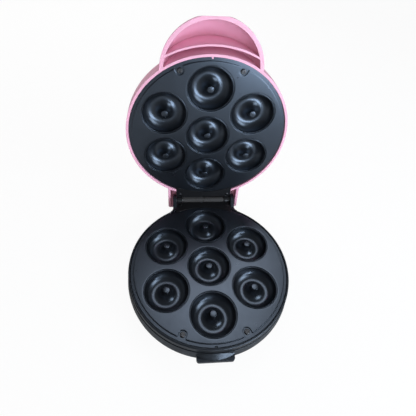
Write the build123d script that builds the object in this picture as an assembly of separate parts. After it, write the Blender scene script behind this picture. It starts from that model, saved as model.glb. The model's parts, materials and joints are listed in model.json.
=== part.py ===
"""Electric donut maker for seven small ring donuts, standing open.

A black base and a pink lid each hold a cast plate with seven ring cups, a tubular heater and
a reflector pan. The halves turn on one steel pin at the back. Millimetres, +Z up, the hinge at
the back (+Y) and the handle at the front (-Y). Pieces are drawn closed, about the middle of the
base plate with the table at Z = 0. The lid is then swung open, and everything is moved along Y
so that the origin lies under the middle of the open appliance.
"""

from build123d import *
import os
from math import cos, hypot, radians, sin, sqrt

os.makedirs("parts", exist_ok=True)

# Overall sizes of the two halves
BASE_R = 100.0  # widest radius of the black base
PLATE_INSET = 4.5  # the plates are this much smaller than the base, all round
RIM_W = 2.5  # width of the base's rim round its plate
BAND_SET = 0.6  # the wall under the rim band stands out by this much
LID_RIM_W = 3.3  # width of the pink lid's rim round its plate
BELLY_DROP = 20.0  # widest radius of the base below the plate's working face
PLATE_GAP = 1.0  # space between the two plates when closed
LID_H = 50.0  # height of the lid's crown above its face
LID_EDGE_H = 38.0  # height at which the crown would meet the lid's wall
LID_SHOULDER = 28.0  # rounding between the lid's wall and crown
WALL = 2.5  # wall of both mouldings
RIM_DROP = 0.6  # base rim below the plate's working face
BAND_H = 9.0  # height of the base's rim band
BAND_GROOVE = 1.0  # groove under the band, its height
BAND_GROOVE_DEPTH = 0.8
RIM_ROUND = 1.4  # rounding of the base's rim
RIM_FIT = 0.2  # between the rim ring's ends and the hinge block
RIM_LAP = 3.0  # reach of the rim ring and of the hinge block's cap down into the bowl

# Hinge
HINGE_OFFSET = 11.0  # from the plates' edge back to the pin
OPEN_ANGLE = 96.0  # swing of the lid from closed to open
PIN_R = 2.0
PIN_FIT = 0.05  # radial clearance of the pin in every bore
BARREL_R = 4.0
BARREL_LEN = 29.6  # each of the two long barrels, which meet at the middle
BARREL_GAP = 0.4  # end play between neighbouring barrels
KNUCKLE_R = 5.2
KNUCKLE_LEN = 8.4  # the short knuckle at the end of each hinge half
BRACKET_H = 5.5  # height of each hinge half from the parting face
BRACKET_BACK = 5.5  # from the pin forward to the back of each hinge half
WEB_H = 3.5  # height of the web between a hinge half and its barrels
LIP_T = 1.3  # lip of a hinge half that holds down the plate's ledge
TROUGH_PLAY = 0.5  # between the barrels and the trough under them
TROUGH_T = 1.2
TROUGH_TURN = 14.0  # how far the trough's back rises round the pin, twice this at the base's barrel
CHEEK_PLAY = 0.4  # between a hinge half and the cheeks beside it
CHEEK_T = 4.5
CHEEK_R = 8.0  # rounding of the cheeks about the pin
CHEEK_LEN = 14.5  # from the pin forward to where a cheek starts to rise
BLOCK_FLARE = 7.0  # fillet between the hinge block and the round wall
BLOCK_ROUND = 4.0  # rounding of the hinge block's rear corners
EAR_PLAY = 3.5  # between the cheeks and the side walls of the lid's housing
EAR_T = 3.2  # side walls of the housing
HOUSING_R = 15.0  # radius of the housing's rounded back about the pin
HOUSING_ROUND = 3.0
STOP_GAP = 0.3  # between the open lid and the base at the stop

# Cast plates
PLATE_T = 2.2
PLATE_FIT = 0.4  # radial clearance of a plate in its moulding
LEDGE_W = 4.0  # lowered edge of the plate
LEDGE_DROP = 1.5
LEDGE_PLAY = 0.2  # between the ledge and the lip above it
CUP_COUNT = 6  # outer cups, round one in the middle
CUP_MARGIN = 4.5  # from an outer cup to the plate's ledge
CUP_LAND = 6.0  # from one cup to the next
CUP_STEP_W = 1.5  # shallow step round each cup
CUP_STEP = 0.6
CUP_DEPTH = 12.5
CONE_R = 3.5  # flat top of each cup's middle cone, flush with the plate
SEAT_W = 2.5  # width of the mouldings' seat under the plate's edge
SEAT_T = 2.5
PLATE_SCREW_IN = 7.9  # plate screws, inwards from the plate's edge
PLATE_SCREW_ANGLE = 23.2  # and to each side of the front
NOTCH_R = 4.6  # lowered notch round each plate screw
KEY_W = 1.8  # locating key of a moulding, at the front of its plate
KEY_LEN = 1.6  # reach of the key into the plate's edge
KEY_FIT = 0.2

# Handle, a half-moon scoop on the front of the lid
HANDLE_BACK = 19.4  # its round outline is centred this far inside the lid's edge
HANDLE_R = 56.4
HANDLE_RISE = 1.0  # its height over the one at which the lid's crown meets the wall
HANDLE_RIM_W = 4.2
HANDLE_FLOOR_T = 2.8
TIP_CUT = 1.4  # taken off the round outline by the flat tip
TIP_WALL = 2.6  # from the flat tip in to the scoop
TIP_LEAN = 20.0  # the flat tip leans in from the rim
POCKET_W = 7.6  # narrow pocket between the lid's wall and the divider
POCKET_DEPTH = 25.0
DIVIDER_T = 2.2  # wall across the handle, round the lid's middle

# Front tab of the base
TAB_HALF = 20.5
TAB_REACH = 4.5  # in front of the base's widest radius
TAB_DROP = 15.0  # top of the tab below the plate's working face
TAB_T = 5.0
TAB_ROUND = 3.0
NOSE_R = 40.0  # foot of the rounded nose that stands on the tab
NOSE_SETBACK = 1.0  # nose foot behind the tab's front edge

# Heaters
ELEMENT_R = 3.25
ELEMENT_GAP_ANGLE = 14.0  # half of the opening between the heater's ends
ELEMENT_BEND = 6.0
ELEMENT_LEG = 8.0
ELEMENT_PLAY = 0.05
SHIELD_OUT = 22.0  # rim of the reflector pan outside the ring of cups
SHIELD_T = 0.8
SHIELD_RIM = 5.0
WIRE_SPACE = 15.4  # room for the electrical pieces under the pan
POST_OUT = 16.0  # posts for the pan outside the ring of cups
POST_COUNT = 3
POST_R = 3.4

# Fasteners
PLATE_SCREW_R = 1.75
PLATE_SCREW_LEN = 14.0
PLATE_HEAD_R = 3.1
PLATE_HEAD_H = 1.4
SMALL_SCREW_R = 1.4
SMALL_SCREW_LEN = 10.0
SMALL_HEAD_R = 2.5
SMALL_HEAD_H = 1.5
SHIELD_SCREW_LEN = 8.0
SCREW_FIT = 0.1  # radial clearance round every screw
BOSS_WALL = 2.2  # plastic round a screw
BRACKET_SCREW_IN = 4.9  # from the end of a hinge half
BRACKET_SCREW_LEN = 9.0  # from the pin forward

# Underside, electrical pieces
FOOT_H = 4.0
FOOT_R = 7.5
FOOT_TIP_R = 6.0
FOOT_PLUG_R = 4.5
FOOT_PLUG_H = 1.2
FRONT_FOOT_IN = 12.0  # front feet inside the flat of the floor
REAR_FOOT_IN = 10.3  # rear feet inside the hinge block's sides
REAR_FOOT_LEN = 13.5  # and from the pin forward
VENT_COUNT = 7
VENT_W = 3.0
VENT_LEN = 46.0
VENT_PITCH = 8.0
VENT_Y = -18.0
GLAND_Z = 18.0
GLAND_BORE_R = 3.6
GLAND_R = 5.6
GLAND_FLANGE_R = 7.6
GLAND_FLANGE_T = 2.0
FIT = 0.05  # clearance of pieces that sit in a recess
THERMOSTAT = (22.0, -24.0)
THERMOSTAT_R = 8.0
THERMOSTAT_H = 7.0
THERMOSTAT_FLANGE_R = 11.0
BLADE = (4.8, 0.8, 4.0)  # terminal blade of the thermostat
FUSE = (-26.0, -20.0)
FUSE_R = 2.2
FUSE_LEN = 20.0
FUSE_WIRE_R = 0.6
CLIP_T = 0.8
CLIP_W = 5.0
TERMINAL_SIZE = (34.0, 15.0, 10.0)
TERMINAL_LEN = 27.5  # from the pin forward to the terminal block
TERMINAL_POLES = 3
TERMINAL_HOLE_R = 1.8
TERMINAL_SCREW_IN = 4.0  # fixing screws from the ends of the block
TERMINAL_ROUND = 2.0
LENS_X = 9.0
LENS_BACK = 42.8  # pilot lenses inside the lid's edge
LENS_R = 4.4
LENS_STEM_R = 3.2
LENS_SEAT = 1.0  # depth of the flat seat cut into the crown
LENS_H = 2.2
LENS_STEM = 6.0
LENS_WALL = 0.7
LAMP_R = 2.2
BOARD_SIZE = (38.0, 12.0, 1.6)
BOARD_POST_R = 2.6
BOARD_POST_X = 16.0

# Worked out from the sizes above
PLATE_R = BASE_R - PLATE_INSET
RIM_R = PLATE_R + RIM_W
WALL_TOP_R = RIM_R + BAND_SET
LID_R = PLATE_R + LID_RIM_W
LEDGE_R = PLATE_R - LEDGE_W
CUP_RING_R = (2 * (LEDGE_R - CUP_MARGIN) + CUP_LAND) / 3
CUP_STEP_R = (CUP_RING_R - CUP_LAND) / 2
CUP_R = CUP_STEP_R - CUP_STEP_W
SEAT_DEPTH = LEDGE_DROP + PLATE_T
CUP_BOTTOM = CUP_DEPTH + PLATE_T
ELEMENT_Z = CUP_BOTTOM + ELEMENT_PLAY + ELEMENT_R
SHIELD_Z = ELEMENT_Z + ELEMENT_R + ELEMENT_PLAY
SHIELD_R = CUP_RING_R + SHIELD_OUT
POST_RING_R = CUP_RING_R + POST_OUT
FLOOR_Z = FOOT_H
FLOOR_TOP = FLOOR_Z + WALL
PLATE_Z = FLOOR_TOP + WIRE_SPACE + SHIELD_T + SHIELD_Z
BELLY_Z = PLATE_Z - BELLY_DROP
BOTTOM_ROUND = BELLY_Z - FLOOR_Z
RIM_Z = PLATE_Z - RIM_DROP
BAND_LOW = RIM_Z - BAND_H
SHELF_Z = PLATE_Z - BRACKET_H
HINGE_Y = PLATE_R + HINGE_OFFSET
HINGE_Z = PLATE_Z + PLATE_GAP / 2
BRACKET_HALF = BARREL_LEN + BARREL_GAP + KNUCKLE_LEN
CHEEK_IN = BRACKET_HALF + CHEEK_PLAY
CHEEK_OUT = CHEEK_IN + CHEEK_T
BLOCK_HALF = (CHEEK_OUT + BLOCK_FLARE) * RIM_R / (RIM_R + BLOCK_FLARE) + RIM_FIT  # to the rim ring's ends
CHEEK_FRONT = HINGE_Y - CHEEK_LEN
EAR_IN = CHEEK_OUT + EAR_PLAY
HOUSING_HALF = EAR_IN + EAR_T
BORE_R = PIN_R + PIN_FIT
STOP_EDGE = HOUSING_R * cos(radians(OPEN_ANGLE)) + PLATE_GAP / 2 * sin(radians(OPEN_ANGLE))
BLOCK_BACK = HINGE_Y + STOP_EDGE - STOP_GAP
PLATE_SCREW_R_AT = PLATE_R - PLATE_SCREW_IN
PLATE_SCREW_X = PLATE_SCREW_R_AT * sin(radians(PLATE_SCREW_ANGLE))
PLATE_SCREW_Y = PLATE_SCREW_R_AT * cos(radians(PLATE_SCREW_ANGLE))
BRACKET_SCREW_X = BRACKET_HALF - BRACKET_SCREW_IN
BRACKET_SCREW_Y = HINGE_Y - BRACKET_SCREW_LEN
HANDLE_Y = LID_R - HANDLE_BACK
HANDLE_H = LID_EDGE_H + HANDLE_RISE
HANDLE_TIP_Y = HANDLE_Y + HANDLE_R - TIP_CUT
DIVIDER_IN = LID_R + POCKET_W
DIVIDER_R = DIVIDER_IN + DIVIDER_T
TAB_Y = BASE_R + TAB_REACH
TAB_Z = PLATE_Z - TAB_DROP
FRONT_FOOT_RING = BASE_R - BOTTOM_ROUND - FRONT_FOOT_IN
FRONT_FOOT = (FRONT_FOOT_RING * sin(radians(45)), -FRONT_FOOT_RING * sin(radians(45)))
REAR_FOOT = (CHEEK_OUT - REAR_FOOT_IN, HINGE_Y - REAR_FOOT_LEN)
TERMINAL_Y = HINGE_Y - TERMINAL_LEN
LENS_Y = LID_R - LENS_BACK
LOW = (Align.CENTER, Align.CENTER, Align.MIN)
REACH = 2 * BASE_R  # longer than any piece, for cuts that run right through


# Small drawing helpers
def rod(radius, z_low, z_high, x=0.0, y=0.0):
    """Upright cylinder between two heights."""
    return Pos(x, y, z_low) * Cylinder(radius, z_high - z_low, align=LOW)


def tube(inner, outer, z_low, z_high):
    """Upright ring between two heights, round the middle."""
    return rod(outer, z_low, z_high) - rod(inner, z_low, z_high)


def brick(low, high):
    """Box between two opposite corners."""
    size = [b - a for a, b in zip(low, high)]
    middle = [(a + b) / 2 for a, b in zip(low, high)]
    return Pos(*middle) * Box(*size)


def cross_rod(radius, x_low, x_high, y, z):
    """Cylinder along X between two ends."""
    return Pos(x_low, y, z) * Rot(0, 90, 0) * Cylinder(radius, x_high - x_low, align=LOW)


def lathe(points, roundings=()):
    """Turn a closed outline of (radius, height) points about Z, after rounding some corners."""
    outline = make_face(Polyline(*points, close=True))
    for corner, radius in roundings:
        outline = fillet(outline.vertices().sort_by_distance(corner)[0], radius)
    return revolve(Plane.XZ * outline, Axis.Z)


def both_sides(x, y):
    """The two mirrored places of a pair."""
    return [(side * x, y) for side in (-1, 1)]


def cup_places():
    """The middle cup and the ring of outer cups, one of which points at the hinge."""
    angles = [radians(90 + 360 / CUP_COUNT * i) for i in range(CUP_COUNT)]
    return [(0.0, 0.0)] + [(CUP_RING_R * cos(a), CUP_RING_R * sin(a)) for a in angles]


def post_places():
    """Posts of the cast plates that carry the reflector pan, between the outer cups."""
    angles = [radians(360 / POST_COUNT * i) for i in range(POST_COUNT)]
    return [(POST_RING_R * cos(a), POST_RING_R * sin(a)) for a in angles]


def screw(shank_r, length, head_r, head_h):
    """Cross-head screw with the underside of its head at Z = 0 and the shank pointing down."""
    head = fillet(rod(head_r, 0, head_h).edges().group_by(Axis.Z)[-1], head_h * 0.6)
    slot = head_r * 0.3
    recess = Box(head_r * 1.2, slot, head_h) + Box(slot, head_r * 1.2, head_h)
    return head + rod(shank_r, -length, 0) - Pos(0, 0, head_h) * recess


# One half's pieces, drawn with the working face at Z = 0 and everything below it.
# The base takes them as they are. The lid takes them turned over about Y.
def cup_cavity():
    """Ring-shaped hollow of half-elliptic section, with a shallow step round its edge."""
    half_width = (CUP_R - CONE_R) / 2
    bowl = EllipticalCenterArc((CONE_R + half_width, 0), half_width, CUP_DEPTH, 180, arc_size=180)
    top = Polyline((CUP_R, 0), (CUP_R, 1), (CONE_R, 1), (CONE_R, 0))
    ring = revolve(Plane.XZ * make_face([bowl, *top.edges()]), Axis.Z)
    return ring + tube(CUP_R - CUP_STEP, CUP_STEP_R, -CUP_STEP, 1)


def cup_back():
    """Back of a cup: a tapered pot, hollow under the middle cone."""
    valley = (CUP_R + CONE_R) / 2
    rim = CUP_STEP_R + PLATE_T
    foot = (CUP_R - valley) / 2
    points = [
        (0, -PLATE_T / 2),
        (rim, -PLATE_T / 2),
        (rim - PLATE_T / 2, -CUP_DEPTH / 2),
        (valley + foot, -CUP_BOTTOM),
        (valley - foot, -CUP_BOTTOM),
        (CONE_R / 4, -2 * PLATE_T),
        (0, -2 * PLATE_T),
    ]
    return lathe(points)


def screw_notch(margin, z_low, z_high):
    """Round-ended notches that open from the plate screws out to the plate's edge."""
    notches = []
    for x, y in both_sides(PLATE_SCREW_X, -PLATE_SCREW_Y):
        width = 2 * (NOTCH_R + margin)
        out = PLATE_R - hypot(x, y)
        plan = Circle(NOTCH_R + margin) + Pos(0, -out / 2) * Rectangle(width, out)
        turn = Axis.Y.direction.get_signed_angle(Vector(-x, -y, 0), Vector(0, 0, 1))
        notches.append(extrude(Pos(x, y, z_low) * Rot(0, 0, turn) * plan, z_high - z_low))
    return notches


def locating_key(margin, z_low, z_high):
    """Small rib at the front that reaches from a moulding into the plate's edge."""
    half = KEY_W / 2 + margin
    inner = PLATE_R - KEY_LEN - margin
    outer = PLATE_R + PLATE_FIT + FIT
    return brick((-half, -outer, z_low), (half, -inner, z_high))


def cast_plate():
    """Plate with its lowered edge, seven cups, screw notches and the posts for the pan."""
    disc = lathe([
        (0, 0),
        (LEDGE_R, 0),
        (LEDGE_R, -LEDGE_DROP),
        (PLATE_R, -LEDGE_DROP),
        (PLATE_R, -SEAT_DEPTH),
        (LEDGE_R - PLATE_T, -SEAT_DEPTH),
        (LEDGE_R - PLATE_T, -PLATE_T),
        (0, -PLATE_T),
    ])
    within = rod(PLATE_R, -SEAT_DEPTH, 0)
    plate = disc + [notch & within for notch in screw_notch(PLATE_T, -SEAT_DEPTH, -PLATE_T / 2)]
    back = cup_back()
    plate += [Pos(x, y, 0) * back for x, y in cup_places()]
    plate += [rod(POST_R, -SHIELD_Z, -PLATE_T / 2, x, y) for x, y in post_places()]
    cavity = cup_cavity()
    plate -= [Pos(x, y, 0) * cavity for x, y in cup_places()]
    plate -= screw_notch(0, -LEDGE_DROP, 1)
    hole = PLATE_SCREW_R + SCREW_FIT
    plate -= [rod(hole, -REACH, 1, x, y) for x, y in both_sides(PLATE_SCREW_X, -PLATE_SCREW_Y)]
    plate -= locating_key(KEY_FIT, -REACH, 1)
    pilot = SMALL_SCREW_R + SCREW_FIT
    depth = SHIELD_SCREW_LEN + SCREW_FIT
    plate -= [rod(pilot, -SHIELD_Z - 1, -SHIELD_Z + depth, x, y) for x, y in post_places()]
    return plate


def plate_screws():
    """The two screws seen in the notches, seated on the lowered face."""
    one = screw(PLATE_SCREW_R, PLATE_SCREW_LEN, PLATE_HEAD_R, PLATE_HEAD_H)
    return [Pos(x, y, -LEDGE_DROP) * one for x, y in both_sides(PLATE_SCREW_X, -PLATE_SCREW_Y)]


def heating_element():
    """Tubular heater: an open ring under the cups whose ends bend away from the plate."""
    start = 90 + ELEMENT_GAP_ANGLE
    ring = Pos(0, 0, -ELEMENT_Z) * CenterArc((0, 0), CUP_RING_R, start, 360 - 2 * ELEMENT_GAP_ANGLE)
    ends = []
    for at, sign in ((0, -1), (1, 1)):
        tip = ring @ at
        along = (ring % at) * sign
        down = Vector(0, 0, -1)
        halfway = ELEMENT_BEND * sin(radians(45))
        middle = tip + along * halfway + down * (ELEMENT_BEND - halfway)
        knee = tip + along * ELEMENT_BEND + down * ELEMENT_BEND
        ends.append([ThreePointArc(tip, middle, knee), Line(knee, knee + down * ELEMENT_LEG)])
    path = Wire([ends[0][1].edge(), ends[0][0].edge(), ring.edge(), ends[1][0].edge(), ends[1][1].edge()])
    section = Plane(origin=path @ 0, z_dir=path % 0) * Circle(ELEMENT_R)
    return sweep(section, path=path)


def leg_places():
    """Where the heater's two legs pass through the reflector pan."""
    angle = radians(90 - ELEMENT_GAP_ANGLE)
    x = CUP_RING_R * cos(angle) - ELEMENT_BEND * sin(angle)
    y = CUP_RING_R * sin(angle) + ELEMENT_BEND * cos(angle)
    return both_sides(x, y)


def heat_shield():
    """Pressed reflector pan that holds the heater up against the cups."""
    pan = lathe([
        (0, -SHIELD_Z),
        (SHIELD_R - SHIELD_T, -SHIELD_Z),
        (SHIELD_R - SHIELD_T, -SHIELD_Z + SHIELD_RIM),
        (SHIELD_R, -SHIELD_Z + SHIELD_RIM),
        (SHIELD_R, -SHIELD_Z - SHIELD_T),
        (0, -SHIELD_Z - SHIELD_T),
    ])
    leg_hole = ELEMENT_R + ELEMENT_BEND / 2
    pan -= [rod(leg_hole, -SHIELD_Z - 1, -SHIELD_Z + 1, x, y) for x, y in leg_places()]
    hole = SMALL_SCREW_R + SCREW_FIT
    return pan - [rod(hole, -SHIELD_Z - 1, -SHIELD_Z + 1, x, y) for x, y in post_places()]


def shield_screws():
    """Screws through the pan into the plate's posts, heads away from the plate."""
    one = Rot(180, 0, 0) * screw(SMALL_SCREW_R, SHIELD_SCREW_LEN, SMALL_HEAD_R, SMALL_HEAD_H)
    return [Pos(x, y, -SHIELD_Z - SHIELD_T) * one for x, y in post_places()]


def bracket_plan(front_r, back_y):
    """Plan of a hinge half: straight back, round front, as long as the gap between the cheeks."""
    return Pos(0, back_y / 2) * Rectangle(2 * BRACKET_HALF, back_y) - Circle(front_r)


def hinge_bracket():
    """Hinge half: a bar with one long barrel, one short end knuckle and a lip over the plate."""
    back_y = HINGE_Y - BRACKET_BACK
    bar = extrude(Pos(0, 0, -BRACKET_H) * bracket_plan(PLATE_R + 2 * PLATE_FIT, back_y), BRACKET_H)
    lip_low = -LEDGE_DROP + LEDGE_PLAY
    lip_plan = bracket_plan(LEDGE_R + PLATE_FIT, back_y) & Circle(PLATE_R + 3 * PLATE_FIT)
    bar += extrude(Pos(0, 0, lip_low) * lip_plan, LIP_T)
    axis_z = PLATE_GAP / 2
    barrel = (BARREL_GAP / 2, BARREL_LEN, BARREL_R)
    knuckle = (-BRACKET_HALF, -BARREL_LEN - BARREL_GAP, KNUCKLE_R)
    for x_low, x_high, radius in (barrel, knuckle):
        bar += cross_rod(radius, x_low, x_high, HINGE_Y, axis_z)
        bar += brick((x_low, back_y - 1, -WEB_H), (x_high, HINGE_Y, 0))
        bar -= cross_rod(BORE_R, x_low, x_high, HINGE_Y, axis_z)
    for x, y in both_sides(BRACKET_SCREW_X, BRACKET_SCREW_Y):
        bar -= rod(SMALL_SCREW_R + SCREW_FIT, -REACH, 1, x, y)
        bar -= rod(SMALL_HEAD_R + SCREW_FIT, -SMALL_HEAD_H, 1, x, y)
    return bar


def hinge_trough():
    """Crumb trough under both long barrels, curved about the pin and joined to the base's half."""
    axis_z = PLATE_GAP / 2
    inner = BARREL_R + TROUGH_PLAY
    pin = Pos(0, HINGE_Y, axis_z)
    halves = []
    for x_low, x_high, turn in ((-BARREL_LEN, 0, TROUGH_TURN), (0, BARREL_LEN, 2 * TROUGH_TURN)):
        ring = cross_rod(inner + TROUGH_T, x_low, x_high, HINGE_Y, axis_z)
        ring -= cross_rod(inner, x_low, x_high, HINGE_Y, axis_z)
        above = brick((x_low, -REACH, -axis_z - FIT), (x_high, REACH, REACH))
        beyond = Rot(turn, 0, 0) * brick((x_low, -REACH, 0), (x_high, REACH, REACH))
        halves.append(ring - pin * (above & beyond))
    return halves


def bracket_screws():
    """Two screws, heads sunk flush into the parting face of the hinge half."""
    one = screw(SMALL_SCREW_R, SMALL_SCREW_LEN, SMALL_HEAD_R, SMALL_HEAD_H)
    return [Pos(x, y, -SMALL_HEAD_H) * one for x, y in both_sides(BRACKET_SCREW_X, BRACKET_SCREW_Y)]


# Base
def block_plan(margin):
    """Plan of the hinge block, flared into the round wall, shrunk by a margin for its hollow."""
    half = CHEEK_OUT - margin
    radius = RIM_R - margin
    flare = BLOCK_FLARE + margin
    back = BLOCK_BACK - margin
    centre_x = half + flare
    reach = radius + flare
    centre_y = sqrt(reach**2 - centre_x**2)
    foot = (centre_x * radius / reach, centre_y * radius / reach)
    knee = (half, centre_y)
    towards = Vector(foot[0] + knee[0] - 2 * centre_x, foot[1] + knee[1] - 2 * centre_y, 0).normalized()
    middle = (centre_x + flare * towards.X, centre_y + flare * towards.Y)
    side = [
        Line((0, 0), foot),
        ThreePointArc(foot, middle, knee),
        Line(knee, (half, back)),
        Line((half, back), (0, back)),
        Line((0, back), (0, 0)),
    ]
    right = make_face(side)
    right = fillet(right.vertices().sort_by_distance((half, back))[0], BLOCK_ROUND - margin)
    return right + mirror(right, about=Plane.YZ)


def cheek():
    """Rounded arm beside the hinge half, drawn on the right."""
    low = SHELF_Z - WALL
    pin_end = Pos(HINGE_Y, HINGE_Z) * Circle(CHEEK_R)
    root = Line((CHEEK_FRONT, low), (CHEEK_FRONT, RIM_Z))
    outline = make_hull([*pin_end.edges(), *root.edges()])
    return extrude(Plane.YZ.offset(CHEEK_IN) * outline, CHEEK_T)


def bowl_outside():
    """Turned outside of the base: flared wall, groove, rim band and rounded edges."""
    groove_r = RIM_R - BAND_GROOVE_DEPTH
    points = [
        (0, FLOOR_Z),
        (BASE_R, FLOOR_Z),
        (BASE_R, BELLY_Z + FIT),
        (WALL_TOP_R, BAND_LOW),
        (groove_r, BAND_LOW),
        (groove_r, BAND_LOW + BAND_GROOVE),
        (RIM_R, BAND_LOW + BAND_GROOVE),
        (RIM_R, RIM_Z),
        (0, RIM_Z),
    ]
    return lathe(points, [((BASE_R, FLOOR_Z), BOTTOM_ROUND), ((RIM_R, RIM_Z), RIM_ROUND)])


def bowl_inside():
    """Hollow of the base under the plate, with the seat that carries the plate's edge."""
    seat_z = PLATE_Z - SEAT_DEPTH
    fit_r = PLATE_R + PLATE_FIT
    seat_r = fit_r - SEAT_W
    wall_r = RIM_R - BAND_GROOVE_DEPTH - WALL
    points = [
        (0, FLOOR_TOP),
        (BASE_R - WALL, FLOOR_TOP),
        (BASE_R - WALL, BELLY_Z + FIT),
        (wall_r, seat_z - SEAT_T - SEAT_W),
        (seat_r, seat_z - SEAT_T),
        (seat_r, seat_z),
        (fit_r, seat_z),
        (fit_r, REACH),
        (0, REACH),
    ]
    return lathe(points, [((BASE_R - WALL, FLOOR_TOP), BOTTOM_ROUND - WALL)])


def front_tab():
    """Flat tab for standing the appliance on its front, with a rounded nose above it."""
    plan = Pos(0, -TAB_Y / 2) * Rectangle(2 * TAB_HALF, TAB_Y)
    plan = fillet(plan.vertices().group_by(Axis.Y)[0], TAB_ROUND)
    tab = extrude(Pos(0, 0, TAB_Z - TAB_T) * plan, TAB_T)
    foot_y = TAB_Y - NOSE_SETBACK
    centre_y = foot_y - NOSE_R
    nose = Cone(NOSE_R, WALL_TOP_R - centre_y, BAND_LOW - TAB_Z, align=LOW)
    return tab + Pos(0, -centre_y, TAB_Z) * nose


def base_form():
    """Whole base before it is parted: bowl, rim, front tab, hinge block, bosses, vents, foot seats."""
    outside = bowl_outside() + front_tab()
    outside += extrude(Pos(0, 0, FLOOR_Z) * block_plan(0), RIM_Z - FLOOR_Z)
    right_cheek = cheek()
    shell = outside + [right_cheek, mirror(right_cheek, about=Plane.YZ)]
    shell -= cross_rod(BORE_R, -CHEEK_OUT, CHEEK_OUT, HINGE_Y, HINGE_Z)
    shell -= bowl_inside()
    shell -= extrude(Pos(0, 0, FLOOR_TOP) * block_plan(WALL), SHELF_Z - WALL - FLOOR_TOP) - rod(
        PLATE_R + PLATE_FIT - SEAT_W, SHELF_Z - 3 * WALL, SHELF_Z
    )
    notch = brick((-CHEEK_IN, 0, SHELF_Z), (CHEEK_IN, REACH, REACH))
    shell -= notch - rod(PLATE_R + PLATE_FIT, 0, REACH)
    boss_r = PLATE_SCREW_R + BOSS_WALL
    seat_z = PLATE_Z - SEAT_DEPTH
    for x, y in both_sides(PLATE_SCREW_X, -PLATE_SCREW_Y):
        shell += rod(boss_r, 0, seat_z, x, y) & outside
        shell -= rod(PLATE_SCREW_R + SCREW_FIT, seat_z - PLATE_SCREW_LEN, REACH, x, y)
    for x, y in both_sides(BRACKET_SCREW_X, BRACKET_SCREW_Y):
        shell += rod(SMALL_SCREW_R + BOSS_WALL, SHELF_Z - SMALL_SCREW_LEN, SHELF_Z, x, y)
        shell -= rod(SMALL_SCREW_R + SCREW_FIT, SHELF_Z - SMALL_SCREW_LEN + 1, REACH, x, y)
    for place in (FRONT_FOOT, REAR_FOOT):
        for x, y in both_sides(*place):
            shell -= rod(FOOT_PLUG_R + FIT, 0, FLOOR_Z + FOOT_PLUG_H, x, y)
    for i in range(VENT_COUNT):
        x = (i - (VENT_COUNT - 1) / 2) * VENT_PITCH
        slot = SlotOverall(VENT_LEN, VENT_W, rotation=90)
        shell -= extrude(Pos(x, VENT_Y, 0) * slot, FLOOR_TOP + 1)
    shell -= Pos(0, BLOCK_BACK, GLAND_Z) * Rot(90, 0, 0) * Cylinder(GLAND_R + FIT, 4 * WALL)
    for x, y in both_sides(TERMINAL_SIZE[0] / 2 - TERMINAL_SCREW_IN, TERMINAL_Y):
        shell -= rod(SMALL_SCREW_R + SCREW_FIT, FLOOR_Z + WALL / 4, FLOOR_TOP + 1, x, y)
    return shell + locating_key(0, seat_z, RIM_Z - RIM_ROUND)


def rim_zone(margin):
    """Space above the groove and round the plate's seat, clear of the flared hinge block."""
    seat_r = PLATE_R + PLATE_FIT - SEAT_W
    half = BLOCK_HALF + RIM_FIT - margin
    return tube(seat_r - margin, BASE_R, BAND_LOW, REACH) - brick((-half, 0, 0), (half, REACH, REACH))


def hinge_zone(margin):
    """Space above the groove between the ends of the rim ring, and round the posts under the shelf."""
    half = BLOCK_HALF + margin
    zone = brick((-half, 0, BAND_LOW), (half, REACH, REACH))
    for x, y in both_sides(BRACKET_SCREW_X, BRACKET_SCREW_Y):
        zone += rod(SMALL_SCREW_R + BOSS_WALL + margin, SHELF_Z - SMALL_SCREW_LEN - margin, SHELF_Z, x, y)
    return zone


def base_hinge_block(form):
    """Cap of the hinge block, parted level with the rim ring: shelf, cheeks, posts and two tongues
    that reach down inside the block's side walls."""
    side = CHEEK_OUT - WALL - FIT
    back = BLOCK_BACK - BLOCK_ROUND
    right = brick((side - WALL, back - 3 * WALL, BAND_LOW - RIM_LAP), (side, back, SHELF_Z - WALL / 2))
    return (form & hinge_zone(0)) + [right, mirror(right, about=Plane.YZ)]


def base_rim(form):
    """Rim ring parted from the base at the groove: band, plate seat and a spigot into the bowl."""
    seat_r = PLATE_R + PLATE_FIT - SEAT_W
    spigot_r = RIM_R - BAND_GROOVE_DEPTH - WALL - FIT
    seat_low = PLATE_Z - SEAT_DEPTH - SEAT_T / 2
    spigot = tube(seat_r, spigot_r, BAND_LOW - RIM_LAP, seat_low)
    half = CHEEK_OUT + BLOCK_FLARE
    return (form & rim_zone(0)) + (spigot - brick((-half, 0, 0), (half, REACH, REACH)))


def rubber_feet():
    """Tapered feet with a plug in the floor of the base."""
    foot = Cone(FOOT_TIP_R, FOOT_R, FOOT_H, align=LOW) + rod(FOOT_PLUG_R, FOOT_H, FOOT_H + FOOT_PLUG_H)
    places = both_sides(*FRONT_FOOT) + both_sides(*REAR_FOOT)
    return [Pos(x, y, 0) * foot for x, y in places]


def cord_gland():
    """Rubber bush in the rear wall, with a groove that holds the wall."""
    inside = BLOCK_BACK - WALL
    profile = [
        (GLAND_BORE_R, inside - GLAND_FLANGE_T),
        (GLAND_FLANGE_R, inside - GLAND_FLANGE_T),
        (GLAND_FLANGE_R, inside - FIT),
        (GLAND_R, inside - FIT),
        (GLAND_R, BLOCK_BACK + FIT),
        (GLAND_FLANGE_R, BLOCK_BACK + FIT),
        (GLAND_FLANGE_R - 1, BLOCK_BACK + GLAND_FLANGE_T),
        (GLAND_BORE_R, BLOCK_BACK + GLAND_FLANGE_T),
    ]
    return Pos(0, 0, GLAND_Z) * Rot(-90, 0, 0) * lathe(profile)


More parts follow.
